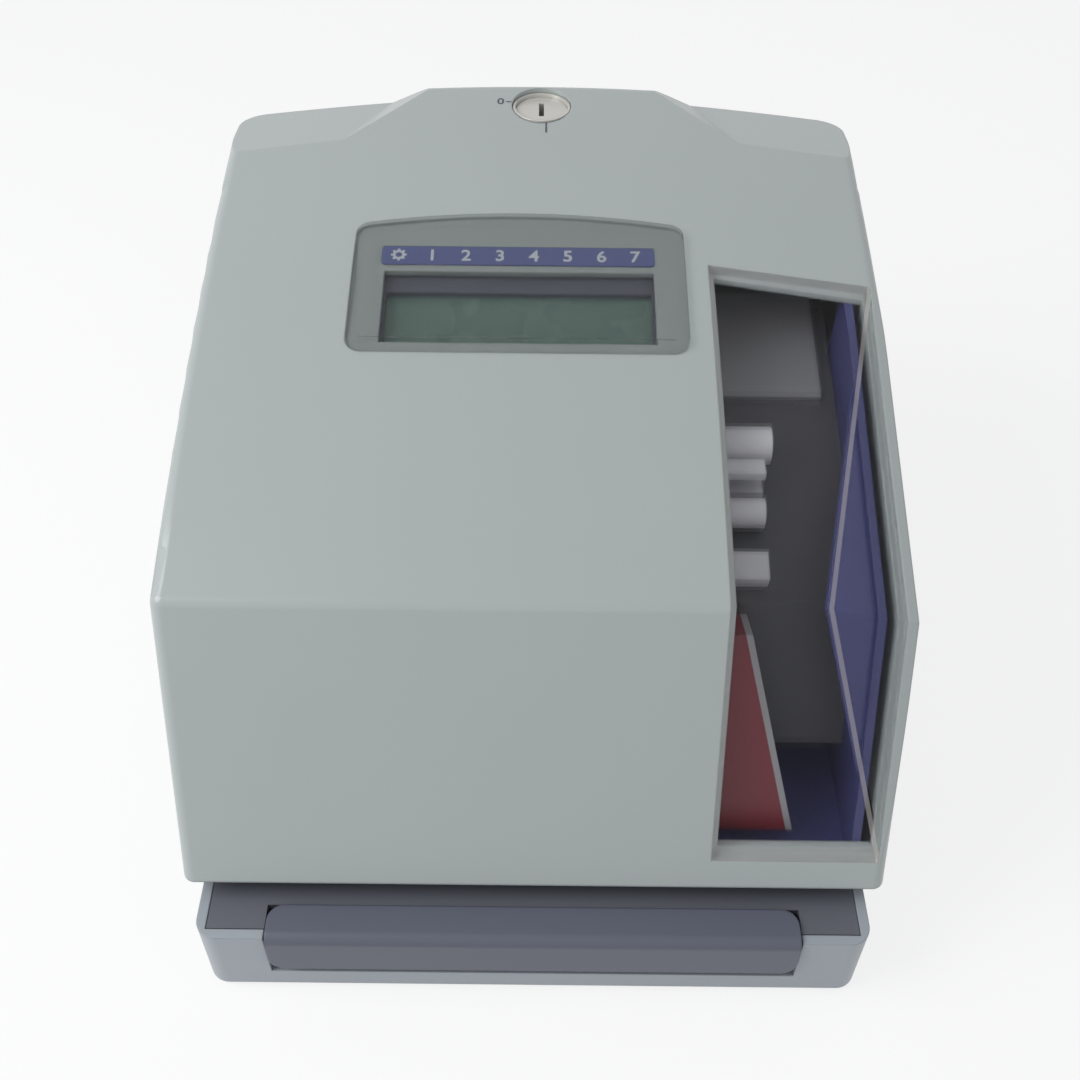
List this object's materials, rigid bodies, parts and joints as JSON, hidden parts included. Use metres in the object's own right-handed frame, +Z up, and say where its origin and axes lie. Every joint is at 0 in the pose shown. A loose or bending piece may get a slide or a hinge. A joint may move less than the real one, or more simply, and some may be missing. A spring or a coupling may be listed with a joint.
{
  "type": "date and time stamp machine",
  "caption": "Desk-top date and time stamp machine with a lift-off locked cover, clear side window, display, paper throat and front print bar.",
  "frame": {"origin": "on the desk, at the middle of the bounding box's underside", "axes": "+X to the user's right, +Y to the rear, +Z up"},
  "size_m": [0.164, 0.2, 0.133],
  "materials": {
    "cover_grey": "fine texture, semi-gloss",
    "tray_grey": "fine texture, semi-gloss",
    "feet_rubber": "matt",
    "plate_dark": "satin",
    "platen_rubber": "matt",
    "steel": "zinc plated",
    "spring_steel": "bright",
    "shaft_steel": "ground",
    "bar_blue": "satin",
    "switch_black": "satin",
    "guide_navy": "satin",
    "black_plastic": "satin",
    "head_alloy": "anodised",
    "belt_rubber": "matt",
    "pulley_white": "satin",
    "motor_metal": "zinc plated",
    "cassette_red": "gloss",
    "ribbon_ink": "inked",
    "guide_grey": "satin",
    "shroud_charcoal": "satin",
    "panel_grey": "satin",
    "part_white": "satin",
    "board_green": "solder mask",
    "power_dark": "satin",
    "battery_metal": "bright",
    "lock_metal": "satin chrome",
    "lens_clear": "clear gloss",
    "strip_blue": "printed",
    "mask_dark": "satin",
    "lcd_green": "display glass",
    "window_clear": "clear, slightly smoky, gloss"
  },
  "bodies": {
    "base": {"base_tray": "tray_grey", "rubber_feet": "feet_rubber", "throat_plate": "plate_dark", "platen_strip": "platen_rubber", "platen_anvil": "steel", "bar_springs": "spring_steel", "bar_switch": "switch_black", "paper_guide": "guide_navy", "left_plate": "steel", "right_plate": "steel", "rear_plate": "steel", "lower_shaft_rod": "shaft_steel", "upper_shaft_rod": "shaft_steel", "drive_belt": "belt_rubber", "idler_pin": "shaft_steel", "drive_motor": "motor_metal", "ribbon_cassette": "cassette_red", "cassette_lid": "cassette_red", "ribbon": "ribbon_ink", "ribbon_guide": "guide_grey", "mechanism_shroud": "shroud_charcoal", "grey_panel": "panel_grey", "latch_hook": "part_white", "ribbon_stay": "part_white", "main_board": "board_green", "board_chips": "black_plastic", "power_block": "power_dark", "backup_battery": "battery_metal", "power_inlet": "black_plastic", "button_shelf": "steel", "button_board": "board_green", "button_cases": "switch_black", "lock_strike": "steel", "display_mask": "mask_dark", "lcd_panel": "lcd_green", "display_board": "board_green", "display_bracket": "steel"},
    "cover": {"top_cover": "cover_grey", "side_window": "window_clear", "display_lens": "lens_clear", "day_strip": "strip_blue", "lock_barrel": "lock_metal", "lock_nut": "lock_metal"},
    "lock_key": {"lock_plug": "lock_metal", "lock_cam": "steel"},
    "bar": {"print_bar": "bar_blue"},
    "head_carriage": {"carriage": "black_plastic", "print_head": "head_alloy"},
    "drive_wheel": {"drive_pulley": "pulley_white"},
    "idler_wheel": {"idler_pulley": "pulley_white"},
    "ribbon_knob": {"feed_knob": "part_white"},
    "ribbon_roller": {"guide_roller": "part_white"},
    "spool_left": {"left_spool": "pulley_white"},
    "spool_right": {"right_spool": "pulley_white"},
    "stop": {"paper_stop": "plate_dark", "stop_screw": "shaft_steel"},
    "button_1": {"set_button_1": "part_white"},
    "button_2": {"set_button_2": "part_white"},
    "button_3": {"set_button_3": "part_white"}
  },
  "joints": [
    {"name": "cover_lift", "type": "slide", "parent": "base", "child": "cover", "axis": [0, 0, 1], "range_m": [0, 0.16]},
    {"name": "lock_turn", "type": "hinge", "parent": "cover", "child": "lock_key", "pos_m": [0, 0.089, 0.12], "axis": [0, 0, 1], "range_deg": [0, 90]},
    {"name": "print_bar_press", "type": "slide", "parent": "base", "child": "bar", "axis": [0, 0, -1], "range_m": [0, 0.0025], "stiffness_N_per_m": 600, "springref_m": -0.002, "deforming": ["bar_springs"]},
    {"name": "carriage_travel", "type": "slide", "parent": "base", "child": "head_carriage", "axis": [1, 0, 0], "range_m": [-0.051, 0.008]},
    {"name": "drive_pulley_turn", "type": "hinge", "parent": "base", "child": "drive_wheel", "pos_m": [0.02, -0.01, 0.058], "axis": [0, 1, 0], "range_deg": [-85.88, 542.13]},
    {"name": "idler_pulley_turn", "type": "hinge", "parent": "base", "child": "idler_wheel", "pos_m": [-0.056, -0.01, 0.058], "axis": [0, 1, 0], "range_deg": [-85.88, 542.13]},
    {"name": "ribbon_knob_turn", "type": "hinge", "parent": "base", "child": "ribbon_knob", "pos_m": [0.049, -0.0094, 0.0977], "axis": [1, 0, 0], "continuous": true},
    {"name": "guide_roller_turn", "type": "hinge", "parent": "base", "child": "ribbon_roller", "pos_m": [0.048, -0.026, 0.0915], "axis": [1, 0, 0], "continuous": true},
    {"name": "left_spool_turn", "type": "hinge", "parent": "base", "child": "spool_left", "pos_m": [-0.04, -0.06401, 0.05281], "axis": [0, -0.9309, 0.3653], "continuous": true},
    {"name": "right_spool_turn", "type": "hinge", "parent": "base", "child": "spool_right", "pos_m": [0.04, -0.06401, 0.05281], "axis": [0, -0.9309, 0.3653], "continuous": true},
    {"name": "paper_stop_slide", "type": "slide", "parent": "base", "child": "stop", "axis": [0, -1, 0], "range_m": [0, 0.016]},
    {"name": "set_button_1_press", "type": "slide", "parent": "base", "child": "button_1", "axis": [0, 0, -1], "range_m": [0, 0.001], "stiffness_N_per_m": 400, "springref_m": -0.001},
    {"name": "set_button_2_press", "type": "slide", "parent": "base", "child": "button_2", "axis": [0, 0, -1], "range_m": [0, 0.001], "stiffness_N_per_m": 400, "springref_m": -0.001},
    {"name": "set_button_3_press", "type": "slide", "parent": "base", "child": "button_3", "axis": [0, 0, -1], "range_m": [0, 0.001], "stiffness_N_per_m": 400, "springref_m": -0.001}
  ],
  "couplings": [
    {"joint": "drive_pulley_turn", "follows": "carriage_travel", "rad_per_m": -185.19},
    {"joint": "idler_pulley_turn", "follows": "carriage_travel", "rad_per_m": -185.19},
    {"joint": "left_spool_turn", "follows": "right_spool_turn", "ratio": 1},
    {"joint": "ribbon_knob_turn", "follows": "right_spool_turn", "ratio": 1}
  ]
}
